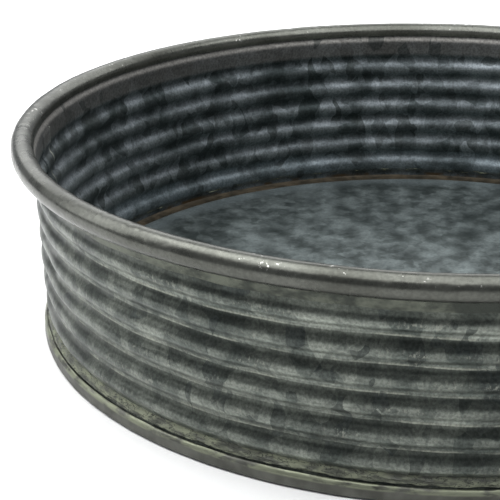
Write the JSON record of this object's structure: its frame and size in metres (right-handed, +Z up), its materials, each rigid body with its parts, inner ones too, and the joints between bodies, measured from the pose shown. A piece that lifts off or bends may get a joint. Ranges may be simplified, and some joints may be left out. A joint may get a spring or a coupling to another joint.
{
  "type": "oil drain pan",
  "caption": "Round shallow galvanised steel pan with corrugated wall, rolled wired rim and seamed flat floor, for catching drained oil.",
  "frame": {"origin": "on the ground at the middle of the foot", "axes": "+Z up along the pan's axis; -Y is the side facing the viewer, the lapped side seam is near -X"},
  "size_m": [0.4199, 0.42, 0.102],
  "materials": {
    "wall_zinc": "spangled hot-dip zinc, dull, blotched",
    "rim_zinc": "smooth dull zinc with rubbed bright nicks",
    "rim_wire": "plain drawn steel wire, hidden",
    "floor_zinc": "mottled, hammered-looking zinc, weathered",
    "solder": "dull soft solder",
    "floor_solder": "dull solder, stained brown by rust",
    "foot_solder": "rough dull solder with a pale yellow-green bloom"
  },
  "bodies": {
    "root": {"side_wall": "wall_zinc", "rim_hoop": "rim_zinc", "rim_wire": "rim_wire", "base_disc": "floor_zinc", "seam_solder": "solder", "floor_solder": "floor_solder", "foot_solder": "foot_solder"}
  },
  "joints": []
}
